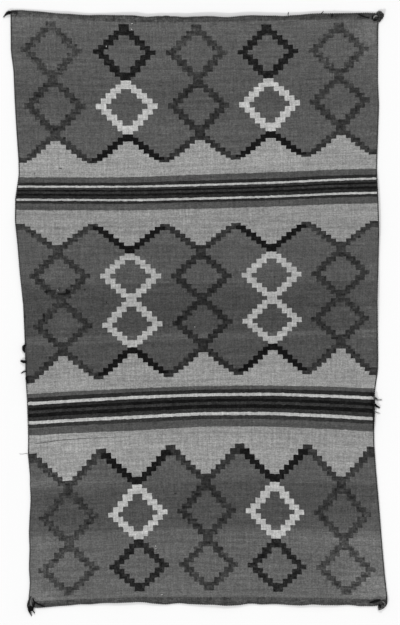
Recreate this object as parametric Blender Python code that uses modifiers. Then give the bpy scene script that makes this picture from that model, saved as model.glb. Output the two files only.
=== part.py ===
# Hand-woven wool blanket with corner tassels, laid out flat on a surface.
# Metres, +Z up. +X is its right side, +Y its top end, and the origin lies under its middle.

import math

import bpy
from mathutils import Matrix, Vector

MM = 0.001

# Driving sizes
THICK = 2.5 * MM
SELVAGE = 4.4 * MM
GAP = 0.3 * MM
EDGE_GAP = 0.52 * MM
CELLS_ACROSS = 32
CELLS_ALONG = 64
CROWDING = 0.5
SELVAGE_ROUNDNESS = 2
LOCK_ROUNDNESS = 1
KNOT_SEGMENTS = 14
KNOT_RINGS = 8
TRIM_CELLS = 4
TRIM_STEPS = 800
CAP_POINTS = 12

# Outer side edges: distance up the blanket, and how far right the edge lies, in mm from the middle
LEFT_EDGE = (
    (1022, -629), (892, -628), (824, -619), (722, -615), (620, -609), (518, -602), (470, -601), (430, -607),
    (390, -613), (314, -614), (230, -605), (128, -597), (26, -586), (-92, -581), (-223, -577), (-298, -573),
    (-427, -569), (-482, -570), (-552, -563), (-665, -563), (-756, -567), (-910, -566), (-990, -568),
)
RIGHT_EDGE = (
    (1019, 624), (960, 621), (790, 620), (706, 624), (620, 621), (491, 617), (396, 622), (281, 626),
    (162, 624), (42, 620), (-162, 621), (-202, 620), (-230, 615), (-264, 610), (-338, 610), (-400, 607),
    (-450, 608), (-536, 614), (-638, 623), (-790, 635), (-892, 644), (-971, 653), (-990, 652),
)

# Outer end edges: distance right across the blanket, and how far up the edge lies, in mm
TOP_EDGE = (
    (-629, 1029), (-595, 1030), (-554, 1027), (-459, 1020), (-357, 1014), (-255, 1012), (-102, 1010),
    (0, 1009), (102, 1008), (204, 1012), (306, 1012), (408, 1019), (510, 1021), (581, 1022), (624, 1019),
)
BOTTOM_EDGE = (
    (-568, -1000), (-534, -1003), (-459, -996), (-357, -990), (-255, -985), (-204, -983), (-102, -991),
    (-51, -988), (0, -990), (102, -995), (204, -991), (306, -992), (357, -994), (459, -993), (561, -997),
    (609, -994), (652, -990),
)

# Where an edge stands a little off the surface: edge, middle of the wave along that edge,
# half its length, how far in it reaches and how high it stands, all in mm
EDGE_WAVES = (
    ("top", 60, 400, 130, 7.0),
    ("top", -430, 130, 70, 2.5),
    ("top", 470, 110, 70, 3.0),
    ("bottom", -230, 170, 90, 4.0),
    ("bottom", 80, 150, 90, 4.5),
    ("bottom", 400, 150, 80, 3.5),
    ("left", 250, 160, 70, 3.0),
    ("left", -220, 120, 70, 4.0),
    ("right", 330, 190, 80, 5.0),
    ("right", 60, 150, 70, 4.0),
    ("right", -330, 110, 70, 4.5),
)

# Corner tassels. Each has its knot's middle and half sizes, and its locks, one row for each,
# whose points are distance right, distance up and half thickness, in mm
TASSELS = {
    "tassel_top_left": {
        "knot": (-632.5, 1020.5),
        "half": (7.2, 7.5, 4.6),
        "locks": (
            ((-632, 1020, 4.0), (-638, 1018, 4.6), (-644, 1014, 3.4), (-649, 1010, 2.0), (-652.6, 1007, 1.0)),
            ((-632, 1024, 3.4), (-639, 1022, 3.4), (-645, 1017.5, 2.2), (-649, 1013, 1.2)),
        ),
    },
    "tassel_top_right": {
        "knot": (628.4, 1016.8),
        "half": (8.0, 7.6, 5.4),
        "locks": (
            ((628, 1018, 3.4), (621, 1024, 3.2), (620, 1026.5, 2.6), (625, 1027, 2.6), (631, 1022, 3.2)),
            ((631, 1018, 3.2), (636, 1021, 2.8), (639, 1018, 2.4), (636, 1012, 2.8), (631, 1013, 3.2)),
            ((631, 1012, 3.6), (631, 1004, 3.0), (629, 997, 2.0), (627.5, 990, 1.2)),
        ),
    },
    "tassel_bottom_left": {
        "knot": (-566.5, -1004.2),
        "half": (7.6, 8.2, 6.4),
        "locks": (
            ((-567, -1006, 4.6), (-564, -1016, 3.8), (-560.5, -1023, 2.4), (-557, -1029.4, 1.0)),
            ((-564, -1007, 4.2), (-557, -1013, 3.0), (-551, -1018, 1.8), (-546, -1023, 0.9)),
            ((-571, -1001, 3.4), (-574.6, -995, 3.0), (-573.4, -987, 2.2), (-571.6, -978, 1.4)),
        ),
    },
    "tassel_bottom_right": {
        "knot": (634.0, -998.2),
        "half": (9.6, 7.2, 5.4),
        "locks": (
            ((636, -999, 4.6), (644, -997, 4.4), (650.2, -993.6, 3.0)),
            ((632, -1002, 4.2), (626.5, -1005, 3.4), (621, -1008.5, 2.0), (617, -1011, 1.0)),
        ),
    },
}

# Wool as grey values, which are all that the photograph shows
WOOLS = {
    "grey_wool": {"colour": (0.105, 0.104, 0.102, 1.0), "roughness": 0.95},
    "dark_wool": {"colour": (0.022, 0.022, 0.021, 1.0), "roughness": 0.92},
}


def clear_scene():
    for thing in list(bpy.data.objects):
        bpy.data.objects.remove(thing, do_unlink=True)


def wool(name):
    look = WOOLS[name]
    material = bpy.data.materials.new(name)
    material.use_nodes = True
    shader = material.node_tree.nodes["Principled BSDF"]
    shader.inputs["Base Color"].default_value = look["colour"]
    shader.inputs["Roughness"].default_value = look["roughness"]
    shader.inputs["Metallic"].default_value = 0.0
    return material


def read_table(table, at):
    """The second column at a value of the first, on straight lines between the rows."""
    rows = sorted(table)
    if at <= rows[0][0]:
        return rows[0][1]
    for (x0, y0), (x1, y1) in zip(rows, rows[1:]):
        if at <= x1:
            return y0 + (y1 - y0) * (at - x0) / (x1 - x0)
    return rows[-1][1]


def blend(a, b, share):
    return a + (b - a) * share


def stations(cells):
    """Shares from 0 to 1, closer together near both ends."""
    even = [i / cells for i in range(cells + 1)]
    return [share - CROWDING * math.sin(2 * math.pi * share) / (2 * math.pi) for share in even]


def outline_point(across, down, inset):
    """The point in mm at these shares of the width and length, on a blanket that much smaller all round."""
    top_x = blend(LEFT_EDGE[0][1], RIGHT_EDGE[0][1], across)
    bottom_x = blend(LEFT_EDGE[-1][1], RIGHT_EDGE[-1][1], across)
    top_y = read_table(TOP_EDGE, top_x) - inset
    bottom_y = read_table(BOTTOM_EDGE, bottom_x) + inset
    y = blend(top_y, bottom_y, down)
    x = blend(read_table(LEFT_EDGE, y) + inset, read_table(RIGHT_EDGE, y) - inset, across)
    return x, y


def wave_height(across, down):
    """How far the blanket stands off the surface there, in mm."""
    x, y = outline_point(across, down, 0.0)
    inward = {
        "top": y - outline_point(across, 0.0, 0.0)[1],
        "bottom": y - outline_point(across, 1.0, 0.0)[1],
        "left": x - read_table(LEFT_EDGE, y),
        "right": x - read_table(RIGHT_EDGE, y),
    }
    height = 0.0
    for edge, middle, half, reach, peak in EDGE_WAVES:
        along = x if edge in ("top", "bottom") else y
        side = abs(along - middle) / half
        depth = abs(inward[edge]) / reach
        if side < 1.0 and depth < 1.0:
            height += peak * (1 - side * side) ** 2 * (1 - depth) ** 2 * (1 + 2 * depth)
    return height


def finish(thing, name, material, home):
    thing.name = name
    thing.data.name = name
    thing.data.materials.clear()
    thing.data.materials.append(material)
    for other in list(thing.users_collection):
        other.objects.unlink(thing)
    home.objects.link(thing)


def make_cloth(home, material):
    """A grid with its points drawn out to the blanket's outline and waves, then given its thickness."""
    bpy.ops.mesh.primitive_grid_add(x_subdivisions=CELLS_ACROSS, y_subdivisions=CELLS_ALONG, size=2.0)
    cloth = bpy.context.object
    across_at = stations(CELLS_ACROSS)
    down_at = stations(CELLS_ALONG)
    inset = (SELVAGE + EDGE_GAP) / MM
    for point in cloth.data.vertices:
        column = round((point.co.x + 1) / 2 * CELLS_ACROSS)
        row = round((1 - point.co.y) / 2 * CELLS_ALONG)
        across, down = across_at[column], down_at[row]
        x, y = outline_point(across, down, inset)
        point.co = Vector((x, y, wave_height(across, down))) * MM
    body = cloth.modifiers.new("weave thickness", "SOLIDIFY")
    body.thickness = THICK
    body.offset = 1.0
    body.use_rim = True
    finish(cloth, "cloth", material, home)
    cloth.data.shade_smooth()
    cloth.data.set_sharp_from_angle(angle=math.radians(40))


def knot_shape(name):
    """Middle and half sizes of a corner knot that rests on the surface."""
    half = Vector(TASSELS[name]["half"]) * MM
    x, y = TASSELS[name]["knot"]
    return Vector((x * MM, y * MM, half.z)), half


def clear_of(route, middle, half):
    """The route without the stretch at its nearer end where its tube would meet an oval block."""
    if (route[0] - middle).length > (route[-1] - middle).length:
        return clear_of(route[::-1], middle, half)[::-1]
    reach = half + Vector((GAP, GAP, GAP))
    up = Vector((0.0, 0.0, SELVAGE / 2))
    for step in range(TRIM_STEPS):
        place = TRIM_CELLS * step / TRIM_STEPS
        start = int(place)
        point = route[start].lerp(route[start + 1], place - start)
        side = (route[start + 1] - route[start]).cross(up).normalized() * SELVAGE / 2
        turns = [2 * math.pi * turn / CAP_POINTS for turn in range(CAP_POINTS)]
        rim = [point - middle + side * math.cos(turn) + up * math.sin(turn) for turn in turns]
        if all(sum((end[i] / reach[i]) ** 2 for i in range(3)) >= 1 for end in rim):
            return [point] + route[start + 1:]
    return route


def make_tube(name, rows, roundness, material, home):
    """A tube with filled ends along points that each carry their own half thickness."""
    curve = bpy.data.curves.new(name, "CURVE")
    curve.dimensions = "3D"
    curve.bevel_depth = 1.0
    curve.bevel_resolution = roundness
    curve.use_fill_caps = True
    line = curve.splines.new("POLY")
    line.points.add(len(rows) - 1)
    for point, (place, half) in zip(line.points, rows):
        point.co = (*place, 1.0)
        point.radius = half
    tube = bpy.data.objects.new(name, curve)
    home.objects.link(tube)
    curve.materials.append(material)
    return tube


def make_selvage(name, shares, knots, stops_short, material, home):
    """A cord that lies against one edge of the cloth, between two corner knots. The end cords stop
    short of the side cords."""
    half = SELVAGE / 2
    route = []
    for across, down in shares:
        x, y = outline_point(across, down, half / MM)
        route.append(Vector((x * MM, y * MM, half + wave_height(across, down) * MM)))
    for corner in (route[0], route[-1]):
        if stops_short:
            route = clear_of(route, corner, Vector((SELVAGE, SELVAGE, 1.0)))
    for knot in knots:
        route = clear_of(route, *knot_shape(knot))
    make_tube(name, [(point, half) for point in route], SELVAGE_ROUNDNESS, material, home)


def as_mesh(tube, home):
    """The tube as a closed mesh that can be joined to others."""
    graph = bpy.context.evaluated_depsgraph_get()
    mesh = bpy.data.meshes.new_from_object(tube.evaluated_get(graph))
    solid = bpy.data.objects.new(tube.name + "_solid", mesh)
    solid.matrix_world = tube.matrix_world
    home.objects.link(solid)
    bpy.data.objects.remove(tube, do_unlink=True)
    weld = solid.modifiers.new("close ends", "WELD")
    weld.merge_threshold = 0.01 * MM
    solid.hide_render = True
    solid.display_type = "WIRE"
    return solid


def make_tassel(name, material, home, helpers):
    """A knot with its locks joined on. All of it lies level on the surface."""
    place, half = knot_shape(name)
    bpy.ops.mesh.primitive_uv_sphere_add(segments=KNOT_SEGMENTS, ring_count=KNOT_RINGS, radius=1.0)
    knot = bpy.context.object
    knot.data.transform(Matrix.Translation(place) @ Matrix.Diagonal((*half, 1.0)))
    finish(knot, name, material, home)
    locks = bpy.data.collections.new(name + "_locks")
    helpers.children.link(locks)
    for number, points in enumerate(TASSELS[name]["locks"]):
        rows = [(Vector((x, y, thick)) * MM, thick * MM) for x, y, thick in points]
        as_mesh(make_tube(f"{name}_lock_{number}", rows, LOCK_ROUNDNESS, material, locks), locks)
    join = knot.modifiers.new("locks", "BOOLEAN")
    join.operation = "UNION"
    join.operand_type = "COLLECTION"
    join.collection = locks
    join.solver = "EXACT"
    knot.data.shade_smooth()


def make_blanket():
    clear_scene()
    home = bpy.data.collections.new("wool_blanket")
    helpers = bpy.data.collections.new("joined_locks")
    bpy.context.scene.collection.children.link(home)
    bpy.context.scene.collection.children.link(helpers)
    helpers.hide_render = True
    grey = wool("grey_wool")
    dark = wool("dark_wool")
    make_cloth(home, grey)
    across_at = stations(CELLS_ACROSS)
    down_at = stations(CELLS_ALONG)
    edges = (
        ("selvage_top", [(s, 0.0) for s in across_at], ("tassel_top_left", "tassel_top_right")),
        ("selvage_bottom", [(s, 1.0) for s in across_at], ("tassel_bottom_left", "tassel_bottom_right")),
        ("selvage_left", [(0.0, t) for t in down_at], ("tassel_top_left", "tassel_bottom_left")),
        ("selvage_right", [(1.0, t) for t in down_at], ("tassel_top_right", "tassel_bottom_right")),
    )
    for name, shares, knots in edges:
        make_selvage(name, shares, knots, name in ("selvage_top", "selvage_bottom"), dark, home)
    for name in TASSELS:
        make_tassel(name, dark, home, helpers)


make_blanket()
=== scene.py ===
# %% [markdown]
# # A hand-woven wool blanket, laid out flat
#
# The real blanket is a tapestry weave: coloured wefts go back and forth over part of the width only,
# and they are beaten down so hard that they hide the warps. That is why every shape in it is a
# staircase, and why each stair is a whole number of warps wide. So the lesson starts with a lattice of
# steps and rows, bent the way a hand loom bends it, and everything else hangs on that lattice.

import math

import bpy
import numpy as np
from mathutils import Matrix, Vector


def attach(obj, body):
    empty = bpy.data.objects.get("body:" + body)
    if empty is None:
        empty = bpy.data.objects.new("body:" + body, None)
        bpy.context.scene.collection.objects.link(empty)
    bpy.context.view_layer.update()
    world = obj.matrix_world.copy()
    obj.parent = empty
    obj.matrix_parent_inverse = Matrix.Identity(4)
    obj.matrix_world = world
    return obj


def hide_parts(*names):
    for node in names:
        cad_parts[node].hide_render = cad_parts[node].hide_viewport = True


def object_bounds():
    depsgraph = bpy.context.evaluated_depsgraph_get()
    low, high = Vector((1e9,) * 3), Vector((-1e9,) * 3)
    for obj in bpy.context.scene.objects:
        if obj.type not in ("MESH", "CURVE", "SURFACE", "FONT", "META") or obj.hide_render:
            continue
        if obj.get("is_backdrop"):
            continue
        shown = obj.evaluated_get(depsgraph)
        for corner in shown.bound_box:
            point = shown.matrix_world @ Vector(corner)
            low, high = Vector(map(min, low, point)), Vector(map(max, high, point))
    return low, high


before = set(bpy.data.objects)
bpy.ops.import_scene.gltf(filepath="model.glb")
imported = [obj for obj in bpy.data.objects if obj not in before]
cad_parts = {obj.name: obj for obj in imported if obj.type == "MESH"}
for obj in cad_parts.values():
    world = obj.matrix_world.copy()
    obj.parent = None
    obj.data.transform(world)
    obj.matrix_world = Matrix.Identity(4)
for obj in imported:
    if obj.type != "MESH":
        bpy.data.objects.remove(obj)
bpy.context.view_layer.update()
print("nodes:", sorted(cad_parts))

# %% [markdown]
# ## The outline
#
# No edge of a hand-woven blanket is straight. The four edges are short tables of points in
# millimetres from the middle, the same ones that the solids were made from. A straight run between
# two points is enough, because the sides only drift a few millimetres over a hand's width. Between
# two knots of its cord an edge also sags in a little. The solids leave that out, and here each dent
# is a smooth bump with a middle, half a length and a depth.

# %% Edge tables and how to read them
MM = 0.001
CLOTH_THICK = 2.5
CORD_THICK = 4.4
LEFT_EDGE = (
    (1022, -629), (892, -628), (824, -619), (722, -615), (620, -609), (518, -602), (470, -601), (430, -607),
    (390, -613), (314, -614), (230, -605), (128, -597), (26, -586), (-92, -581), (-223, -577), (-298, -573),
    (-427, -569), (-482, -570), (-552, -563), (-665, -563), (-756, -567), (-910, -566), (-990, -568),
)
RIGHT_EDGE = (
    (1019, 624), (960, 621), (790, 620), (706, 624), (620, 621), (491, 617), (396, 622), (281, 626),
    (162, 624), (42, 620), (-162, 621), (-202, 620), (-230, 615), (-264, 610), (-338, 610), (-400, 607),
    (-450, 608), (-536, 614), (-638, 623), (-790, 635), (-892, 644), (-971, 653), (-990, 652),
)
TOP_EDGE = (
    (-629, 1029), (-595, 1030), (-554, 1027), (-459, 1020), (-357, 1014), (-255, 1012), (-102, 1010),
    (0, 1009), (102, 1008), (204, 1012), (306, 1012), (408, 1019), (510, 1021), (581, 1022), (624, 1019),
)
BOTTOM_EDGE = (
    (-568, -1000), (-534, -1003), (-459, -996), (-357, -990), (-255, -985), (-204, -983), (-102, -991),
    (-51, -988), (0, -990), (102, -995), (204, -991), (306, -992), (357, -994), (459, -993), (561, -997),
    (609, -994), (652, -990),
)


def read_table(table, at, column=1):
    """The named column at one or many values of the first column, on straight lines between the rows."""
    rows = sorted(table)
    return np.interp(at, [row[0] for row in rows], [row[column] for row in rows])


EDGES = {"top": (TOP_EDGE, 1), "bottom": (BOTTOM_EDGE, -1), "left": (LEFT_EDGE, -1), "right": (RIGHT_EDGE, 1)}
DENTS = (
    # edge, middle, half the length and depth in mm
    ("top", -465, 70, 2.0), ("top", -385, 60, 2.4), ("top", -165, 50, 4.6), ("top", -95, 45, 2.2),
    ("top", -38, 40, 4.0), ("top", 5, 35, 1.6), ("top", 108, 60, 3.2), ("top", 250, 70, 1.6),
    ("top", 301, 35, 2.6), ("top", 350, 45, 2.2), ("top", 500, 150, 1.8),
    ("bottom", -395, 35, 1.6), ("bottom", -310, 45, 1.8), ("bottom", -180, 40, 2.2), ("bottom", -62, 40, 1.8),
    ("bottom", 63, 40, 1.6), ("bottom", 185, 40, 4.0), ("bottom", 270, 50, 1.8), ("bottom", 400, 40, 3.0),
    ("bottom", 520, 45, 3.0), ("bottom", 605, 35, -2.2),
    ("left", -630, 50, 2.0), ("left", -800, 60, 2.2), ("left", -920, 50, 2.6),
    ("right", 190, 340, 1.9),
)


def edge_at(edge, along):
    """Where an edge lies at a place along it, in mm, with its dents."""
    table, outward = EDGES[edge]
    line = read_table(table, along)
    for name, middle, half, depth in DENTS:
        if name == edge:
            side = np.clip(np.abs(along - middle) / half, 0, 1)
            line = line - outward * depth * (1 - side**2) ** 2
    return line


print("widths in mm at the top, middle and bottom:",
      [round(float(edge_at("right", y) - edge_at("left", y))) for y in (1000, 0, -980)])

# %% [markdown]
# ## Where the edges lift
#
# A heavy weave lies flat, but its edges relax into low waves that catch a little shadow. Each wave is
# a smooth bump with a middle, a length along the edge, a reach into the cloth and a height. The
# cloth and its cords read the same waves, so they stay together.

# %% Low waves along the edges
EDGE_WAVES = (
    # edge, middle of the wave, half its length, reach and height in mm
    ("top", 60, 400, 130, 7.0),
    ("top", -240, 140, 80, 3.0),
    ("top", 340, 120, 80, 2.2),
    ("top", -430, 130, 70, 2.5),
    ("top", 470, 110, 70, 3.0),
    ("bottom", -230, 170, 90, 4.0),
    ("bottom", 80, 150, 90, 4.5),
    ("bottom", 400, 150, 80, 3.5),
    ("left", 250, 160, 70, 3.0),
    ("left", -220, 120, 70, 4.0),
    ("right", 330, 190, 80, 5.0),
    ("right", 60, 150, 70, 4.0),
    ("right", -330, 110, 70, 4.5),
)


def wave_height(x, y):
    """How far the underside stands off the floor there, in mm. x and y may be arrays."""
    to_edge = {
        "top": read_table(TOP_EDGE, x) - y,
        "bottom": y - read_table(BOTTOM_EDGE, x),
        "left": x - read_table(LEFT_EDGE, y),
        "right": read_table(RIGHT_EDGE, y) - x,
    }
    height = np.zeros_like(np.asarray(x, float))
    for edge, middle, half, reach, peak in EDGE_WAVES:
        along = x if edge in ("top", "bottom") else y
        side = np.clip(np.abs(along - middle) / half, 0, 1)
        depth = np.clip(np.abs(to_edge[edge]) / reach, 0, 1)
        height = height + peak * (1 - side**2) ** 2 * (1 - depth) ** 2 * (1 + 2 * depth)
    return height


RIPPLE = 0.35
EDGE_OUT, EDGE_SLOPE = 3.0, 7.0  # a loose yarn starts to rise this far outside the edge, over this length


def ripple(x, y):
    """The slight unevenness of the face, in mm."""
    return RIPPLE * (2 + np.sin(x / 47 + np.sin(y / 90)) + np.sin(y / 61 + np.cos(x / 120)))


def ground(x, y):
    """The height of what lies under a loose yarn: the cloth's face, or the floor beside it, in mm."""
    over_ends = min(edge_at("top", x) - y, y - edge_at("bottom", x))
    over_sides = min(x - edge_at("left", y), edge_at("right", y) - x)
    share = min(max((min(over_ends, over_sides) + EDGE_OUT) / EDGE_SLOPE, 0), 1)
    return float(share * (wave_height(x, y) + ripple(x, y) + CLOTH_THICK))


print("highest wave in mm:", round(float(wave_height(60.0, 1008.0)), 1))

# %% [markdown]
# ## The lattice of steps and rows
#
# Across, the unit is one step of the pattern, about 17 mm or four warps. Five columns of diamonds
# stand 14 steps apart. Downwards, the unit is one row of wefts that share a colour change. On a hand
# loom neither runs true, so two tables say where they go: the middle of each column at several
# heights, and the height of several weft lines where they cross each column.

# %% Warp lines and weft lines
STEPS_APART = 14
HALF_STEPS = 35.7
STATIONS = (-HALF_STEPS, -28, -14, 0, 14, 28, HALF_STEPS)
WARP_LINES = (
    # height, then how far right the middle of each of the five columns lies, in mm
    (991, -493, -244, 3, 239, 487),
    (894, -490, -242, 5, 247, 486),
    (797, -487, -238, 9, 247, 488),
    (704, -478, -233, 11, 253, 491),
    (590, -476, -229, 16, 256, 496),
    (231, -470, -225, 18, 258, 495),
    (127, -461, -221, 21, 259, 495),
    (-31, -451, -216, 24, 262, 492),
    (-143, -451, -214, 27, 263, 495),
    (-560, -436, -199, 35, 269, 495),
    (-680, -430, -196, 39, 271, 500),
    (-862, -429, -190, 46, 278, 509),
    (-990, -430, -189, 48, 282, 514),
)
WEFT_LINES = (
    # heights in mm at the left edge, at the five columns and at the right edge
    (1006, 1002, 988, 988, 992, 999, 998),
    (996, 992, 981, 980, 980, 987, 991),
    (896, 894, 885, 884, 887, 895, 897),
    (799, 798, 789, 792, 797, 806, 809),
    (703, 702, 701, 704, 709, 721, 725),
    (585, 584, 582, 587, 594, 605, 611),
    (510, 508, 509, 516, 526, 535, 539),
    (461.5, 460.5, 461, 470.9, 478, 488.4, 491),
    (429.5, 429.4, 428.9, 434.8, 442.4, 454, 457),
    (385.5, 384.7, 383.2, 389, 395.1, 406.3, 408.5),
    (350, 349.4, 348.2, 354.5, 361, 370.8, 373),
    (303, 303, 302, 304, 308, 312, 313),
    (231, 231, 228, 231, 235, 243, 245),
    (125, 125, 126, 125, 129, 136, 139),
    (39, 41, 46, 48, 52, 59, 62),
    (-48, -45, -39, -31, -24, -17, -16),
    (-160, -155, -146, -143, -134, -129, -131),
    (-240, -231, -220, -214, -208, -208, -212),
    (-276, -267.7, -256.4, -247.2, -245.8, -251.2, -257),
    (-309, -300.8, -286.8, -277.8, -275.7, -283.9, -290),
    (-375, -366.3, -353.7, -342, -341.4, -352.6, -360),
    (-418, -408.9, -399.7, -385.6, -386.2, -396.6, -404),
    (-479, -469, -453, -444, -443, -450, -455),
    (-576, -570, -556, -545, -546, -555, -561),
    (-702, -697, -680, -669, -674, -682, -687),
    (-787, -784, -768, -762, -766, -775, -779),
    (-877, -872, -858, -853, -859, -869, -874),
    (-965, -960, -945, -942, -947, -958, -962),
    (-981, -974, -965, -965, -966, -970, -974),
)
MAIN_COLUMN = 2  # the weft lines are named by their height here, as the chart below is
TUCK = CORD_THICK / 2  # the cloth's edge lies inside its cord


def across_mm(steps, y):
    """How far right the lattice's warp lies at a height, for arrays of the same shape."""
    lines = [edge_at("left", y) + TUCK]
    lines += [read_table(WARP_LINES, y, column) for column in range(1, 6)]
    lines += [edge_at("right", y) - TUCK]
    x = np.zeros_like(steps)
    for left, right, x_left, x_right in zip(STATIONS, STATIONS[1:], lines, lines[1:]):
        inside = (steps >= left) & (steps <= right)
        share = (steps - left) / (right - left)
        x = np.where(inside, x_left + (x_right - x_left) * share, x)
    return x


def drift_mm(named_height, steps):
    """How much higher a weft line lies at these steps than in the main column."""
    by_height = sorted((line[MAIN_COLUMN], line) for line in WEFT_LINES)
    heights = [height for height, line in by_height]
    stations = [
        np.interp(named_height, heights, [line[i] - line[MAIN_COLUMN] for height, line in by_height])
        for i in range(len(STATIONS))
    ]
    softened = [np.interp(steps + slide, STATIONS, stations) for slide in (-3.0, -1.5, 0.0, 1.5, 3.0)]
    return np.mean(softened, axis=0)


def down_mm(named_height, steps, top_named, bottom_named):
    """The height of one weft line at an array of steps. The first and last lines follow the outline."""
    inner = named_height + drift_mm(named_height, steps)
    first, last = WEFT_LINES[0][MAIN_COLUMN], WEFT_LINES[-1][MAIN_COLUMN]
    if named_height > first:
        edge = edge_at("top", across_mm(steps, inner)) - TUCK
        share = (named_height - first) / (top_named - first)
        base = first + drift_mm(first, steps)
        return base + (edge - base) * share
    if named_height < last:
        edge = edge_at("bottom", across_mm(steps, inner)) + TUCK
        share = (last - named_height) / (last - bottom_named)
        base = last + drift_mm(last, steps)
        return base + (edge - base) * share
    return inner


columns_apart = float(read_table(WARP_LINES, 0, 3) - read_table(WARP_LINES, 0, 2))
print("one step in mm:", round(columns_apart / STEPS_APART, 1))

# %% [markdown]
# ## The chart
#
# A weaver keeps the pattern in the head as a rule, and so does this script. A diamond is a ring two
# steps wide whose half width grows by one step a row. The zigzag under it is the same staircase,
# opened out. The chart lists, from the top down, what is woven, in which wool the two accent
# columns are worked, and the heights at which its rows begin, read down the second column.

# %% What is woven, row by row
CHART = (
    ("band", "band", (1008, 988)),
    ("plain", "field", (988, 981)),
    ("diamond", "black", (981, 959, 943, 927, 908, 893, 877, 860, 839, 817, 801, 789)),
    ("diamond", "white", (789, 775, 761, 746, 728, 711, 692, 674, 654, 636, 618, 607)),
    ("zigzag", "black", (607, 596, 582, 570, 554, 540, 527, 517, 509)),
    ("plain", "light", (509, 461)),
    ("plain", "stripe grey", (461, 442.7)),
    ("plain", "stripe dark", (442.7, 432.1)),
    ("plain", "white", (432.1, 425.7)),
    ("plain", "stripe mid", (425.7, 418.2)),
    ("plain", "black", (418.2, 411.9)),
    ("plain", "stripe mid", (411.9, 404.4)),
    ("plain", "black", (404.4, 396.8)),
    ("plain", "stripe dark", (396.8, 386.6)),
    ("plain", "white", (386.6, 379.8)),
    ("plain", "stripe dark", (379.8, 370.3)),
    ("plain", "stripe grey", (370.3, 348.2)),
    ("plain", "light", (348.2, 302)),
    ("zigzag up", "black", (302, 293, 280, 268, 254, 240, 228, 216, 202)),
    ("diamond", "white", (202, 194, 180, 165, 151, 134, 118, 99, 83, 67, 53, 46)),
    ("diamond", "white", (46, 38, 22, 5, -14, -31, -48, -63, -77, -92, -107, -116)),
    ("zigzag", "black", (-116, -126, -138, -154, -169, -183, -196, -208, -220)),
    ("plain", "light", (-220, -256.4)),
    ("plain", "stripe grey", (-256.4, -268.8)),
    ("plain", "stripe dark", (-268.8, -281.9)),
    ("plain", "white", (-281.9, -291.7)),
    ("plain", "stripe dark", (-291.7, -301.8)),
    ("plain", "black", (-301.8, -312)),
    ("plain", "stripe mid", (-312, -321.5)),
    ("plain", "black", (-321.5, -334.9)),
    ("plain", "stripe mid", (-334.9, -348.3)),
    ("plain", "white", (-348.3, -359)),
    ("plain", "stripe mid", (-359, -372.8)),
    ("plain", "stripe grey", (-372.8, -399.7)),
    ("plain", "light", (-399.7, -453)),
    ("zigzag up", "black", (-453, -469, -489, -508, -524, -541, -556, -573, -583)),
    ("diamond", "white", (-583, -596, -614, -636, -655, -672, -688, -706, -723, -741, -758, -768)),
    ("diamond", "black", (-768, -782, -798, -819, -835, -850, -866, -884, -900, -916, -928, -945)),
    ("plain", "field", (-945, -965)),
    ("band", "band", (-965, -979)),
)
DIAMOND_REACH = 6
RING_STEPS = 2
ZIGZAG_ROWS = 8


def diamond_wool(row, out, accent):
    """The wool at a number of steps out from a diamond's middle, in its rows 0 to 10."""
    from_middle = abs(row - 5)
    outer = max(DIAMOND_REACH - from_middle, 1)
    inner = DIAMOND_REACH - RING_STEPS - from_middle
    return accent if inner <= out < outer else "field"


def zigzag_wool(row, out, accent):
    """The wool at a number of steps out from a zigzag's peak, in its rows 0 to 7 from the peak down."""
    folded = min(out, STEPS_APART - out)
    if row == ZIGZAG_ROWS - 1:
        return "floor" if folded >= DIAMOND_REACH else "light"
    inner = row - 1
    if folded < inner:
        return "light"
    return accent if folded < max(inner + RING_STEPS, 1) else "field"


def wool_at(kind, accent, row, steps):
    """The wool of the cell that lies at these steps across in one row of the chart."""
    if kind in ("plain", "band"):
        return accent
    column = max(-2, min(2, round(steps / STEPS_APART)))
    out = abs(steps - column * STEPS_APART)
    here = accent if column in (-1, 1) else "dark"
    if kind == "diamond":
        return diamond_wool(row, out, here)
    return zigzag_wool(row if kind == "zigzag" else ZIGZAG_ROWS - 1 - row, out, here)


for row in range(11):
    print("".join("#" if wool_at("diamond", "white", row, s + 0.5) == "white" else "." for s in range(7, 21)))

# %% [markdown]
# ## The wools
#
# Hand-carded grey is a blend of black and white fleece, and each batch comes out a little different.
# So each wool has a share by which its cells differ, a share of fine heather in the yarn, and a table
# of the grey it shows at several heights: where a batch ran out, two rows stand close together. The
# photograph is a monochrome one, so these greys are all that is known of the dyes. A wool reflects
# less than it seems to in the picture, by the brightness of the studio light and by the little
# glint that any surface adds, and both are named once.

# %% Grey values of the wools
LIGHT_LEVEL = 1.19
GLINT = 0.003


def grey(shown):
    """The reflectance that shows as this grey, from 0 to 255, under the studio light."""
    value = shown / 255
    linear = value / 12.92 if value <= 0.04045 else ((value + 0.055) / 1.055) ** 2.4
    return max(linear / LIGHT_LEVEL - GLINT, 0.002)


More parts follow.
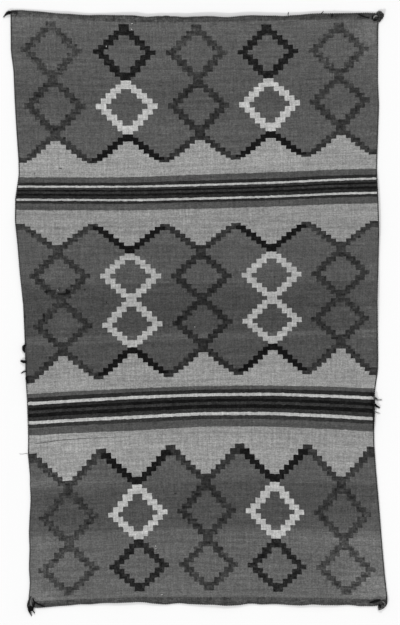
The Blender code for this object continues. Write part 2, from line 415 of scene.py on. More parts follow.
WOOLS = {
    # how much its cells differ, how much heather it has
    "field": (0.03, 0.20),
    "dark": (0.22, 0.30),
    "black": (0.22, 0.50),
    "floor": (0.16, 0.30),
    "light": (0.02, 0.17),
    "white": (0.03, 0.12),
    "stripe grey": (0.04, 0.20),
    "stripe mid": (0.10, 0.30),
    "stripe dark": (0.10, 0.30),
    "band": (0.12, 0.32),
}
STRIPE_GREYS = {"stripe grey": 83, "stripe mid": 54, "stripe dark": 44, "floor": 52, "band": 79}
LOT_WOOLS = ("field", "dark", "black", "light", "white")
LOTS = (
    # height of the row, then the greys of field, dark, black, light and white wool
    (990, 98, 66, 36, 150, 188),
    (930, 93, 64, 35, 150, 188),
    (792, 90, 61, 33, 150, 188),
    (786, 88, 53, 30, 152, 188),
    (715, 85, 53, 29, 152, 188),
    (640, 91, 53, 27, 152, 188),
    (607, 91, 53, 26, 154, 188),
    (509, 90, 54, 24, 154, 184),
    (302, 92, 54, 26, 142, 174),
    (202, 88, 52, 26, 144, 172),
    (126, 87, 50, 26, 144, 172),
    (101, 86, 49, 26, 144, 172),
    (97, 80, 49, 26, 144, 172),
    (46, 75, 48, 25, 144, 172),
    (20, 76, 47, 25, 144, 172),
    (15, 71, 47, 25, 144, 172),
    (5, 71, 47, 25, 144, 172),
    (0, 77, 47, 25, 144, 172),
    (-72, 76, 46, 25, 144, 172),
    (-76, 89, 46, 25, 144, 172),
    (-94, 88, 48, 24, 144, 172),
    (-98, 79, 48, 24, 144, 174),
    (-220, 81, 50, 23, 149, 182),
    (-400, 86, 54, 25, 147, 183),
    (-453, 92, 56, 26, 152, 184),
    (-576, 90, 54, 28, 150, 184),
    (-582, 80, 52, 28, 150, 184),
    (-680, 80, 53, 28, 150, 184),
    (-733, 84, 55, 29, 150, 184),
    (-739, 94, 57, 30, 150, 184),
    (-768, 98, 61, 38, 150, 184),
    (-850, 99, 63, 40, 150, 184),
    (-980, 104, 65, 41, 150, 184),
)
DARK_BY_COLUMN = (5, 0, -3, 0, 3)  # the dark wool of each column is this much lighter


def shown_grey(wool, height, steps):
    """The grey that a wool shows in the row at this height."""
    if wool in STRIPE_GREYS:
        return STRIPE_GREYS[wool]
    shown = float(read_table(LOTS, height, 1 + LOT_WOOLS.index(wool)))
    if wool == "dark":
        shown += DARK_BY_COLUMN[2 + max(-2, min(2, round(steps / STEPS_APART)))]
    return shown


for name in LOT_WOOLS:
    print(f"{name}: reflects {grey(shown_grey(name, 900, 0)):.3f} near the top")

# %% [markdown]
# ## The cloth
#
# The cloth is one sheet. It could be a picture on a plane, but then the colour edges would be as soft
# as the picture, and the weave wouldn't bend with the warps. Here each cell of the mesh is half a step
# wide and part of a row tall, the lattice places its corners, and the chart gives it its wool. A
# small seeded shift of each corner makes the staircases as ragged as hand work. Solidify gives the
# sheet its thickness, and the back shows the same pattern, as a tapestry's does.

# %% The lattice of the cloth's mesh
CELL_STEPS = 0.5
CELL_TALL = 8.0
SHIFT_ACROSS = 0.55
SHIFT_DOWN = 0.5
chance = np.random.default_rng(11)

inner_lines = np.arange(-35.5, 35.51, CELL_STEPS)
steps_at = np.concatenate([[-HALF_STEPS], inner_lines, [HALF_STEPS]])
top_named, bottom_named = CHART[0][2][0], CHART[-1][2][-1]
heights = [top_named]
cells = []  # for each row of mesh cells: what is woven, its wool, its row in the motif, its height
for kind, accent, edges in CHART:
    for row, (high, low) in enumerate(zip(edges, edges[1:])):
        parts = max(1, round((high - low) / CELL_TALL))
        for part in range(parts):
            heights.append(high + (low - high) * (part + 1) / parts)
            cells.append((kind, accent, row, (heights[-2] + heights[-1]) / 2))
columns_count, lines_count = len(steps_at), len(heights)
print("cells across and down:", columns_count - 1, lines_count - 1)

# %% Place the corners
place_x = np.zeros((lines_count, columns_count))
place_y = np.zeros((lines_count, columns_count))
for line, height in enumerate(heights):
    place_y[line] = down_mm(height, steps_at, top_named, bottom_named)
    place_x[line] = across_mm(steps_at, place_y[line])
ragged_x = chance.normal(0, SHIFT_ACROSS, place_x.shape)
ragged_y = chance.normal(0, SHIFT_DOWN, place_y.shape)
for ragged in (ragged_x, ragged_y):
    ragged[0] = ragged[-1] = 0
    ragged[:, 0] = ragged[:, -1] = 0
place_x += ragged_x
place_y += ragged_y
place_z = wave_height(place_x, place_y) + ripple(place_x, place_y)
print("cloth covers in mm:", round(np.ptp(place_x)), "by", round(np.ptp(place_y)))


# %% [markdown]
# ## Light and dark places
#
# An old blanket is not evenly grey. The field is lighter towards the four corners, one spinning differs from
# the next, and repairs and stains stay. Each such place is an oval with soft sides that lifts or lowers the
# grey by a share, written down after a close look.

# %% Lighter and darker places
PLACES = (
    # x, y, half width, half height in mm, lighter by this share
    (-600, 985, 60, 60, 0.15),
    (600, 960, 45, 50, 0.32),
    (590, 900, 60, 90, 0.22),
    (-530, -765, 130, 50, 0.16),
    (-560, -960, 70, 50, 0.26),
    (-505, -965, 26, 14, 0.25),
    (600, -770, 140, 60, 0.34),
    (610, -940, 90, 80, 0.42),
    (400, -765, 120, 40, 0.14),
    (-530, -580, 230, 34, 0.30),
    (590, 20, 70, 190, 0.22),
    (-565, -100, 60, 11, 0.16),
    (-454, -25, 60, 70, 0.28),
    (-461, 139, 60, 50, 0.10),
    (-545, -860, 90, 90, 0.10),
    (600, -860, 110, 90, 0.14),
    (610, -677, 60, 50, 0.16),
    (-540, -677, 60, 50, 0.10),
    (-400, -470, 120, 30, 0.05),
    (596, -275, 16, 4, -0.70),
    (599, -299, 9, 4, -0.70),
    (602, -312, 7, 10, -0.50),
    (60, -80, 500, 4, 0.10),
    (-430, -435, 130, 40, 0.14),
    (470, -430, 240, 60, -0.06),
    (-470, 73, 46, 9, 0.25),
    (-545, 1008, 110, 14, 0.28),
    (450, 1008, 150, 12, -0.42),
    (10, 1000, 120, 12, -0.15),
    (100, -976, 8, 10, -0.55),
    (-6, -975, 22, 9, -0.35),
    (560, -984, 60, 10, -0.40),
    (-500, -992, 30, 8, -0.35),
    (134, 490, 4, 14, -0.25),
    (380, 512, 5, 16, -0.30),
    (270, -160, 4, 12, -0.22),
    (-246, 530, 14, 3, -0.20),
    (-222, 524, 10, 3, -0.20),
    (168, 476, 5, 4, -0.35),
)


def shade_at(x, y):
    """How much lighter or darker than its own grey the wool is, as a factor, at arrays of places."""
    factor = np.ones_like(x)
    for x0, y0, half_x, half_y, lighter in PLACES:
        distance = ((x - x0) / half_x) ** 2 + ((y - y0) / half_y) ** 2
        factor += lighter * np.exp(-distance)
    return factor


shade = shade_at(place_x, place_y)
print("shade runs from", round(float(shade.min()), 2), "to", round(float(shade.max()), 2))

# %% Make the cloth's mesh with its wool values
RIBS_PER_STEP = 4
WEFT_MM = 1.6
STEPS_DRAWN = 84  # more than the cloth is wide
DARKEST_SHARE = 0.5
corner = np.arange(lines_count * columns_count).reshape(lines_count, columns_count)
quads = np.stack([corner[1:, :-1], corner[1:, 1:], corner[:-1, 1:], corner[:-1, :-1]], axis=-1).reshape(-1, 4)
points = np.stack([place_x, place_y, place_z], axis=-1).reshape(-1, 3) * MM
cloth_mesh = bpy.data.meshes.new("cloth_weave")
cloth_mesh.from_pydata(points.tolist(), [], quads.tolist())

tones, heathers = [], []
for kind, accent, row, height in cells:
    spun = chance.normal(0, 1, STEPS_DRAWN)
    for left, right in zip(steps_at, steps_at[1:]):
        middle = (left + right) / 2
        wool = wool_at(kind, accent, row, middle)
        differ, heather = WOOLS[wool]
        own = 1 + differ * spun[int(middle + HALF_STEPS)] + chance.normal(0, differ / 2)
        tones.append(grey(shown_grey(wool, height, middle)) * max(own, DARKEST_SHARE))
        heathers.append(heather)
for name, values in (("tone", tones), ("heather", heathers)):
    attribute = cloth_mesh.attributes.new(name, "FLOAT", "FACE")
    attribute.data.foreach_set("value", values)
attribute = cloth_mesh.attributes.new("shade", "FLOAT", "POINT")
attribute.data.foreach_set("value", shade.reshape(-1))

rib_at = np.tile(steps_at * RIBS_PER_STEP, (lines_count, 1))
weft_at = np.repeat(np.array(heights)[:, None] / WEFT_MM, columns_count, axis=1)
weave_map = cloth_mesh.uv_layers.new(name="weave")
per_corner = np.stack([rib_at.reshape(-1), weft_at.reshape(-1)], axis=-1)[quads.reshape(-1)]
weave_map.data.foreach_set("uv", per_corner.reshape(-1))
print("cloth faces on one side:", len(cloth_mesh.polygons))

# %% [markdown]
# ## Small helpers for node trees
#
# A material or a Geometry Nodes tree made in a script is a long list of nodes and links. One helper
# that makes a node, sets its options and fills its sockets, either with a value or with another
# node's output, keeps that list readable.

# %% Node helpers


def add_node(tree, kind, fills=(), **options):
    """A new node. fills is pairs of socket and either a value or another node's output."""
    made = tree.nodes.new(kind)
    for name, value in options.items():
        setattr(made, name, value)
    for socket, value in fills:
        if isinstance(value, bpy.types.NodeSocket):
            tree.links.new(value, made.inputs[socket])
        else:
            made.inputs[socket].default_value = value
    return made


def math_node(tree, operation, first, second=0.0, third=0.0):
    """The result of one Math node."""
    fills = ((0, first), (1, second), (2, third))
    return add_node(tree, "ShaderNodeMath", fills, operation=operation).outputs[0]


def times(tree, first, second):
    """The product of two numbers, each a value or a socket."""
    return math_node(tree, "MULTIPLY", first, second)


def vector_node(tree, operation, first, second=(0.0, 0.0, 0.0)):
    """The vector that one Vector Math node gives."""
    return add_node(tree, "ShaderNodeVectorMath", ((0, first), (1, second)), operation=operation).outputs[0]


def scaled(tree, vector, amount):
    """A vector times a number, which may be a socket."""
    fills = ((0, vector), ("Scale", amount))
    return add_node(tree, "ShaderNodeVectorMath", fills, operation="SCALE").outputs[0]


def noise(tree, vector, scale, detail):
    """A noise value around 0.5, with its own scale along each of the vector's axes."""
    stretched = vector_node(tree, "MULTIPLY", vector, scale)
    fills = (("Vector", stretched), ("Scale", 1.0), ("Detail", detail), ("Roughness", 0.55))
    return add_node(tree, "ShaderNodeTexNoise", fills).outputs[0]


def mapped(tree, value, start, end, low, high):
    """A value that runs from low to high while another runs from start to end."""
    fills = (("Value", value), ("From Min", start), ("From Max", end), ("To Min", low), ("To Max", high))
    return add_node(tree, "ShaderNodeMapRange", fills).outputs[0]


def attribute_value(tree, name):
    """What an attribute of the mesh says, in a material."""
    return add_node(tree, "ShaderNodeAttribute", attribute_name=name).outputs["Fac"]


def about_one(tree, value, share):
    """1 plus a share of how far a value lies from 0.5, where the share may be a socket."""
    away = math_node(tree, "SUBTRACT", value, 0.5)
    return math_node(tree, "MULTIPLY_ADD", away, share, 1.0)


def wool_shader(tree, value, height, bump_mm):
    """Ends a wool material: a grey value and a height go into one matt, slightly furry surface."""
    cooler = times(tree, value, 0.985)
    colour = add_node(tree, "ShaderNodeCombineColor", (("Red", value), ("Green", value), ("Blue", cooler)))
    fills = (("Height", height), ("Distance", bump_mm * MM), ("Strength", 0.8))
    bump = add_node(tree, "ShaderNodeBump", fills)
    shader = tree.nodes["Principled BSDF"]
    tree.links.new(colour.outputs[0], shader.inputs["Base Color"])
    tree.links.new(bump.outputs[0], shader.inputs["Normal"])
    shader.inputs["Roughness"].default_value = 0.95
    shader.inputs["Specular IOR Level"].default_value = 0.04
    shader.inputs["Sheen Weight"].default_value = 0.03
    shader.inputs["Sheen Roughness"].default_value = 0.6


print("helpers ready")

# %% [markdown]
# ## The woven surface
#
# Close up, a weft-faced cloth is a field of ribs, one over each warp, and every rib is a stack of small beads
# where the wefts ride over it. Beads on the next rib sit half a bead higher. The material makes that from the
# cloth's own map of warps and wefts, so ribs bend with the lattice. The ribs and beads are bumps, and the
# ribs also get painted shade in their hollows and painted light on their crowns. Noise at four scales adds
# what wool does: heather, spun-in slubs, streaks along the warps and bands along the wefts.

# %% The cloth's wool material
HEATHERS = (
    # noise scale along x, y and z in the cloth's own place, strength: fine fibres, then spun-in slubs
    ((200.0, 270.0, 200.0), 8.0),
    ((60.0, 120.0, 60.0), 2.4),
)
STREAKS = (
    # noise scale across ribs, along wefts and a third number that only moves it, detail, share
    ((0.8, 0.02, 1.0), 1.0, 0.60),
    ((0.012, 0.14, 1.0), 2.0, 0.75),
    ((0.06, 0.50, 7.0), 1.0, 0.65),
)
STAIN_SCALE, STAIN_SHARE = (0.22, 0.45, 3.0), 0.78
RIB_HOLLOW_SHADE, RIB_CROWN_LIGHT = 0.755, 0.36  # painted shade: the grey factor in the hollow between ribs, and how much painted light a crown adds
DARKEST_WOOL = 0.0015


def make_woven_wool():
    material = bpy.data.materials.new("woven_wool")
    material.use_nodes = True
    tree = material.node_tree
    weave = add_node(tree, "ShaderNodeUVMap", uv_map="weave").outputs[0]
    parts = add_node(tree, "ShaderNodeSeparateXYZ", ((0, weave),))
    ribs, wefts = parts.outputs[0], parts.outputs[1]
    place = add_node(tree, "ShaderNodeTexCoord").outputs["Object"]
    wave = math_node(tree, "SINE", times(tree, ribs, math.pi))
    rib = math_node(tree, "POWER", math_node(tree, "ABSOLUTE", wave), 0.8)
    odd = math_node(tree, "MODULO", math_node(tree, "FLOOR", ribs), 2.0)
    turn = times(tree, math_node(tree, "ADD", wefts, odd), math.pi)
    bead = math_node(tree, "MULTIPLY_ADD", math_node(tree, "SINE", turn), 0.5, 0.5)
    height = times(tree, rib, math_node(tree, "MULTIPLY_ADD", bead, 0.35, 0.65))

    heather = attribute_value(tree, "heather")
    value = times(tree, attribute_value(tree, "tone"), attribute_value(tree, "shade"))
    for scale, strength in HEATHERS:
        speckle = noise(tree, place, scale, 2.0)
        value = times(tree, value, about_one(tree, speckle, times(tree, heather, strength)))
    for scale, detail, share in STREAKS:
        value = times(tree, value, about_one(tree, noise(tree, weave, scale, detail), share))
    stain = mapped(tree, noise(tree, weave, STAIN_SCALE, 2.0), 0.62, 0.74, 1.0, STAIN_SHARE)
    value = times(tree, value, stain)
    # painted shade in the hollows between ribs and painted light on their crowns
    value = times(tree, value, math_node(tree, "MULTIPLY_ADD", rib, RIB_CROWN_LIGHT, RIB_HOLLOW_SHADE))
    value = math_node(tree, "MAXIMUM", value, DARKEST_WOOL)
    wool_shader(tree, value, height, 0.55)
    return material


woven_wool = make_woven_wool()
print("woven wool has", len(woven_wool.node_tree.nodes), "nodes")

# %% Give the sheet its thickness
cloth = bpy.data.objects.new("woven_cloth", cloth_mesh)
bpy.context.scene.collection.objects.link(cloth)
cloth_mesh.materials.append(woven_wool)
body = cloth.modifiers.new("weave thickness", "SOLIDIFY")
body.thickness = CLOTH_THICK * MM
body.offset = 1.0
solid = bpy.data.meshes.new_from_object(cloth.evaluated_get(bpy.context.evaluated_depsgraph_get()))
cloth.modifiers.clear()
cloth.data = solid
cloth.data.shade_smooth()
cloth.data.set_sharp_from_angle(angle=math.radians(50))
print("cloth triangles:", 2 * len(cloth.data.polygons))

# %% [markdown]
# ## Twined cords
#
# Every edge of such a blanket is bound by cords that the weaver twines around the outermost warps.
# A cord follows a path and repeats, so Geometry Nodes make it: two plies circle the path, and a round profile
# is swept along each. The tree takes the pitch of the twist, how far the plies stand from the middle and how
# thick they are. It also writes down how high above the cord's middle each point stands, so the material can
# paint shade into the hollows and light onto the crowns.

# %% A Geometry Nodes tree for a twined cord


def new_tree(name, floats, integers=()):
    """A tree with a geometry input, named number inputs, a material input and a geometry output."""
    tree = bpy.data.node_groups.new(name, "GeometryNodeTree")
    tree.interface.new_socket("Geometry", in_out="INPUT", socket_type="NodeSocketGeometry")
    for label in floats:
        tree.interface.new_socket(label, in_out="INPUT", socket_type="NodeSocketFloat")
    for label in integers:
        tree.interface.new_socket(label, in_out="INPUT", socket_type="NodeSocketInt")
    tree.interface.new_socket("Wool", in_out="INPUT", socket_type="NodeSocketMaterial")
    tree.interface.new_socket("Geometry", in_out="OUTPUT", socket_type="NodeSocketGeometry")
    return tree, tree.nodes.new("NodeGroupInput").outputs


def end_tree(tree, geometry, wool):
    """Smooth shading, real geometry and the material, as the last nodes of a tree."""
    smooth = add_node(tree, "GeometryNodeSetShadeSmooth", (("Geometry", geometry),))
    real = add_node(tree, "GeometryNodeRealizeInstances", (("Geometry", smooth.outputs[0]),))
    dyed = add_node(tree, "GeometryNodeSetMaterial", (("Geometry", real.outputs[0]), ("Material", wool)))
    add_node(tree, "NodeGroupOutput", (("Geometry", dyed.outputs[0]),))


def named(tree, name, kind):
    """Reads an attribute inside a tree."""
    return add_node(tree, "GeometryNodeInputNamedAttribute", (("Name", name),), data_type=kind).outputs[0]


def stored(tree, geometry, name, value, kind="FLOAT"):
    """The geometry with a value written down at each of its points."""
    fills = (("Geometry", geometry), ("Name", name), ("Value", value))
    return add_node(tree, "GeometryNodeStoreNamedAttribute", fills, data_type=kind, domain="POINT").outputs[0]


def make_cord_tree(plies, sides):
    tree, inputs = new_tree("twined cord", ("Spacing", "Pitch", "Ply Offset", "Ply Radius"))
    path = add_node(
        tree, "GeometryNodeResampleCurve",
        (("Curve", inputs["Geometry"]), ("Length", inputs["Spacing"])), mode="LENGTH",
    ).outputs[0]
    middle = add_node(tree, "GeometryNodeInputPosition").outputs[0]
    path = stored(tree, path, "axis_point", middle, "FLOAT_VECTOR")
    path = stored(tree, path, "girth", add_node(tree, "GeometryNodeInputRadius").outputs[0])
    girth = named(tree, "girth", "FLOAT")
    along = add_node(tree, "GeometryNodeSplineParameter").outputs["Length"]
    turn = times(tree, math_node(tree, "DIVIDE", along, inputs["Pitch"]), 2 * math.pi)
    tangent = add_node(tree, "GeometryNodeInputTangent").outputs[0]
    normal = add_node(tree, "GeometryNodeInputNormal").outputs[0]
    across = vector_node(tree, "CROSS_PRODUCT", tangent, normal)
    profile = add_node(
        tree, "GeometryNodeCurvePrimitiveCircle", (("Resolution", sides), ("Radius", inputs["Ply Radius"]))
    ).outputs["Curve"]
    out = times(tree, girth, inputs["Ply Offset"])
    join = tree.nodes.new("GeometryNodeJoinGeometry")
    for ply in range(plies):
        angle = math_node(tree, "ADD", turn, 2 * math.pi * ply / plies)
        arms = [
            scaled(tree, side, times(tree, math_node(tree, operation, angle), out))
            for operation, side in (("COSINE", normal), ("SINE", across))
        ]
        shift = vector_node(tree, "ADD", arms[0], arms[1])
        moved = add_node(tree, "GeometryNodeSetPosition", (("Geometry", path), ("Offset", shift)))
        swept = add_node(
            tree, "GeometryNodeCurveToMesh",
            (("Curve", moved.outputs[0]), ("Profile Curve", profile), ("Scale", girth), ("Fill Caps", True)),
        )
        tree.links.new(swept.outputs[0], join.inputs[0])
    here = add_node(tree, "GeometryNodeInputPosition").outputs[0]
    above = vector_node(tree, "SUBTRACT", here, named(tree, "axis_point", "FLOAT_VECTOR"))
    above = add_node(tree, "ShaderNodeSeparateXYZ", ((0, above),)).outputs[2]
    full = math_node(tree, "ADD", inputs["Ply Offset"], inputs["Ply Radius"])
    full = times(tree, girth, full)
    marked = stored(tree, join.outputs[0], "rise", math_node(tree, "DIVIDE", above, full))
    end_tree(tree, marked, inputs["Wool"])
    return tree


cord_tree = make_cord_tree(plies=2, sides=7)
print("cord tree has", len(cord_tree.nodes), "nodes")

# %% [markdown]
# ## Frayed ends
#
# Where a yarn is cut, it opens into single strands. Another tree copies one short path many times,
# lets the copies drift apart towards their tips, and sweeps a thin tapering tube along each. The
# tips never sink below the floor, because the tree lifts them to at least their own radius.

# %% A Geometry Nodes tree for frayed strands
STRAND_RISE = 0.9  # a loose strand gets the painted light of a crown


def make_fray_tree():
    tree, inputs = new_tree("frayed strands", ("Spread", "Root Spread", "Strand Radius"), ("Strands", "Seed"))
    fills = (("Curve", inputs["Geometry"]), ("Count", 9))
    path = add_node(tree, "GeometryNodeResampleCurve", fills, mode="COUNT").outputs[0]
    fills = (("Geometry", path), ("Amount", inputs["Strands"]))
    copies = add_node(tree, "GeometryNodeDuplicateElements", fills, domain="SPLINE")
    number = copies.outputs["Duplicate Index"]
    share = add_node(tree, "GeometryNodeSplineParameter").outputs["Factor"]

    def scatter(extra):
        drawn = add_node(
            tree, "FunctionNodeRandomValue",
            ((0, (-1.0, -1.0, -1.0)), (1, (1.0, 1.0, 1.0)), ("ID", number),
             ("Seed", math_node(tree, "ADD", inputs["Seed"], extra))),
            data_type="FLOAT_VECTOR",
        )
        return drawn.outputs[0]

    opening = times(tree, math_node(tree, "POWER", share, 1.6), inputs["Spread"])
    curl = math_node(tree, "SINE", times(tree, share, 5.0))
    curl = times(tree, curl, times(tree, opening, 0.5))
    drift = vector_node(
        tree, "ADD", scaled(tree, scatter(0.0), opening), scaled(tree, scatter(7.0), curl)
    )
    drift = vector_node(tree, "ADD", drift, scaled(tree, scatter(13.0), inputs["Root Spread"]))
    wanted = vector_node(tree, "ADD", add_node(tree, "GeometryNodeInputPosition").outputs[0], drift)
    parts = add_node(tree, "ShaderNodeSeparateXYZ", ((0, wanted),))
    lifted = math_node(tree, "MAXIMUM", parts.outputs[2], inputs["Strand Radius"])
    fills = ((0, parts.outputs[0]), (1, parts.outputs[1]), (2, lifted))
    rests = add_node(tree, "ShaderNodeCombineXYZ", fills)
    moved = add_node(
        tree, "GeometryNodeSetPosition", (("Geometry", copies.outputs[0]), ("Position", rests.outputs[0]))
    )
    profile = add_node(
        tree, "GeometryNodeCurvePrimitiveCircle", (("Resolution", 5), ("Radius", inputs["Strand Radius"]))
    ).outputs["Curve"]
    taper = math_node(tree, "MULTIPLY_ADD", share, -0.7, 1.0)
    swept = add_node(
        tree, "GeometryNodeCurveToMesh",
        (("Curve", moved.outputs[0]), ("Profile Curve", profile), ("Scale", taper), ("Fill Caps", True)),
    )
    end_tree(tree, stored(tree, swept.outputs[0], "rise", STRAND_RISE), inputs["Wool"])
    return tree


fray_tree = make_fray_tree()
print("fray tree has", len(fray_tree.nodes), "nodes")

# %% Run a tree along a path


def grow(tree, route, girths, **settings):
    """A plain mesh that the tree makes along a route of points in mm, with a girth for each point."""
    curve = bpy.data.curves.new("route", "CURVE")
    curve.dimensions = "3D"
    line = curve.splines.new("POLY")
    line.points.add(len(route) - 1)
    for point, place, girth in zip(line.points, route, girths):
        point.co = (place[0] * MM, place[1] * MM, place[2] * MM, 1.0)
        point.radius = girth
    carrier = bpy.data.objects.new("carrier", curve)
    bpy.context.scene.collection.objects.link(carrier)
    modifier = carrier.modifiers.new("grow", "NODES")
    modifier.node_group = tree
    sockets = {item.name: item.identifier for item in tree.interface.items_tree if item.in_out == "INPUT"}
    for label, value in settings.items():
        modifier[sockets[label.replace("_", " ")]] = value
    made = bpy.data.meshes.new_from_object(carrier.evaluated_get(bpy.context.evaluated_depsgraph_get()))
    bpy.data.objects.remove(carrier, do_unlink=True)
    return made


def joined(name, meshes):
    """One object at the origin that holds all of these meshes."""
    holders = [bpy.data.objects.new(name, mesh) for mesh in meshes]
    for holder in holders:
        bpy.context.scene.collection.objects.link(holder)
    if len(holders) > 1:
        with bpy.context.temp_override(active_object=holders[0], selected_editable_objects=holders):
            bpy.ops.object.join()
    holders[0].name = name
    holders[0].data.name = name
    return holders[0]


print("routes can be grown")

# %% [markdown]
# ## Wool for cords, knots and strays
#
# A twisted yarn looks dark in its hollows, where no light comes, and lighter on its crowns, and that light
# and shade are painted here. The `rise` that the trees wrote down runs from the hollow to the crown, and the
# material turns it into painted shade in the hollows and painted light on the crowns. Noise at the piece's
# own place in the cloth adds the mottle of hand-spun wool.

# %% Yarn materials
SHADED_HOLLOW_RISE, LIT_CROWN_RISE = 0.45, 0.85  # the rise where the painted shade is darkest and the painted light brightest
YARN_FIBRES, YARN_SLUBS, YARN_LENGTHS = 900.0, 120.0, 28.0  # noise scales


def make_yarn(name, crown, groove, mottle):
    """A yarn material from the greys of its painted light on the crowns and its painted shade in the grooves.
    """
    material = bpy.data.materials.new(name)
    material.use_nodes = True
    tree = material.node_tree
    place = add_node(tree, "ShaderNodeTexCoord").outputs["Object"]
    # painted shade in the hollows and painted light on the crowns, by how high each point stands above the
    # yarn's middle
    value = mapped(tree, attribute_value(tree, "rise"), SHADED_HOLLOW_RISE, LIT_CROWN_RISE, grey(groove), grey(crown))
    fibres = noise(tree, place, (YARN_FIBRES,) * 3, 2.0)
    value = times(tree, value, about_one(tree, fibres, 1.2))
    for scale in (YARN_SLUBS, YARN_LENGTHS):
        value = times(tree, value, about_one(tree, noise(tree, place, (scale,) * 3, 2.0), mottle))
    value = math_node(tree, "MAXIMUM", value, DARKEST_WOOL)
    wool_shader(tree, value, fibres, 0.3)
    return material


YARNS = {
    # greys of the painted light on the crown and the painted shade in the hollow, mottle
    "end cord": (112, 18, 1.6),
    "left cord": (98, 16, 2.0),
    "right cord": (74, 14, 1.6),
    "black": (28, 8, 1.0),
    "charcoal": (74, 26, 1.2),
    "worn": (122, 48, 1.2),
    "grey": (140, 66, 0.8),
    "white": (225, 160, 0.5),
}
yarns = {
    name: make_yarn(name.replace(" ", "_") + "_yarn", crown, groove, mottle)
    for name, (crown, groove, mottle) in YARNS.items()
}
print("yarns:", len(yarns))

# %% [markdown]
# ## The four edge cords
#
# Each cord runs along its edge on the outline's own tables, half its thickness inside, at the height
# of the waves. The side cords are twisted a little tighter than the end cords, and that shows as
# closer beads. One cord replaces one plain tube of the solids.

# %% Make the edge cords
PLY_RADIUS = 1.3
PLY_OFFSET = 1.2
CORD_FACETS = 10  # points in each turn of the twist
END_PITCH = 15.0
SIDE_PITCH = 13.6
ROUTE_SPACING = 12.0
CORD_LIFT = 0.4  # clears the floor under the lowest ply


def edge_route(edge):
    """Points in mm along one edge, half a cord inside the outline and at the height of the waves."""
    half = CORD_THICK / 2
    table, outward = EDGES[edge]
    if edge in ("top", "bottom"):
        xs = np.arange(table[0][0] + half, table[-1][0] - half, ROUTE_SPACING)
        ys = edge_at(edge, xs) - outward * half
    else:
        high = edge_at("top", table[0][1])
        low = edge_at("bottom", table[-1][1])
        ys = np.arange(high - half, low + half, -ROUTE_SPACING)
        xs = edge_at(edge, ys) - outward * half
    zs = wave_height(xs, ys) + half + CORD_LIFT
    return list(zip(xs, ys, zs))


cords = {}
for edge, yarn, pitch in (
    ("top", "end cord", END_PITCH), ("bottom", "end cord", END_PITCH),
    ("left", "left cord", SIDE_PITCH), ("right", "right cord", SIDE_PITCH),
):
    route = edge_route(edge)
    mesh = grow(
        cord_tree, route, [1.0] * len(route), Spacing=pitch / CORD_FACETS * MM, Pitch=pitch * MM,
        Ply_Offset=PLY_OFFSET * MM, Ply_Radius=PLY_RADIUS * MM, Wool=yarns[yarn],
    )
    cords[edge] = joined(f"edge_cord_{edge}", [mesh])
    print(cords[edge].name, "triangles:", 2 * len(mesh.polygons))

# %% [markdown]
# ## Yarn ends
#
# Knots, tails and strays are all ends of yarn, so one small function makes them: a twisted cord along a few
# given points, each with its own half thickness, lying on whatever is under it. If the end is loose, it frays
# into strands.

# %% Make a knot or an end of yarn
PLY_SHARE = 0.5  # how far a ply stands from the yarn's middle, as a share of its half thickness
PLY_THICK_SHARE = 0.54
YARN_PITCH = 9.0
KNOT_POINTS = 60
CLEAR = 0.3
CORD_SETTINGS = dict(
    Spacing=0.9 * MM, Pitch=YARN_PITCH * MM, Ply_Offset=PLY_SHARE * MM, Ply_Radius=PLY_THICK_SHARE * MM
)


def smooth_route(points, parts=6):
    """More points on a smooth curve through a few, each with all its values."""
    rows = [points[0], *points, points[-1]]
    finer = []
    for before, start, end, after in zip(rows, rows[1:], rows[2:], rows[3:]):
        for part in range(parts):
            t = part / parts
            finer.append(tuple(
                b + ((c - a) * t + (2 * a - 5 * b + 4 * c - d) * t**2 + (3 * b - a - 3 * c + d) * t**3) / 2
                for a, b, c, d in zip(before, start, end, after)
            ))
    return finer + [points[-1]]


def yarn_end(wool, points, strands=0, spread=3.4, strand=0.34, seed=1):
    """Meshes of a yarn end. Each point is its x, its y and half the yarn's thickness, in mm."""
    finer = smooth_route(points)
    route = [(x, y, ground(x, y) + thick + CLEAR) for x, y, thick in finer]
    meshes = [grow(cord_tree, route, [thick for x, y, thick in finer], Wool=yarns[wool], **CORD_SETTINGS)]
    if strands:
        tip = route[len(route) // 2:]
        meshes.append(grow(
            fray_tree, tip, [1.0] * len(tip), Strands=strands, Seed=seed, Spread=spread * MM,
            Root_Spread=min(points[-1][2], 1.2) * MM, Strand_Radius=strand * MM, Wool=yarns[wool],
        ))
    return meshes


def knot(wool, middle, half, cord):
    """The mesh of a three-lobed knot that fills these half sizes, pressed flat on what is under it."""
    route = []
    base = ground(*middle) * 0.5 + CLEAR + 0.06 * cord
    for number in range(KNOT_POINTS + 1):
        turn = 2 * math.pi * number / KNOT_POINTS
        reach = (2 + math.cos(3 * turn)) / 3
        route.append((
            middle[0] + (half[0] - cord) * reach * math.cos(2 * turn),
            middle[1] + (half[1] - cord) * reach * math.sin(2 * turn),
            base + half[2] + (half[2] - cord) * math.sin(3 * turn),
        ))
    return grow(cord_tree, route, [cord] * len(route), Wool=yarns[wool], **CORD_SETTINGS)


print("yarn ends can be made")

# %% [markdown]
# ## Corner tassels
#
# At each corner the cord ends and the outermost warps are tied in a knot, and their ends are cut or
# darned back into the band. So each corner has a lump, a tail or two that fray at their tips, and dark
# ends that run back over the cloth. Handled wool has gone grey in places, so the yarns differ.

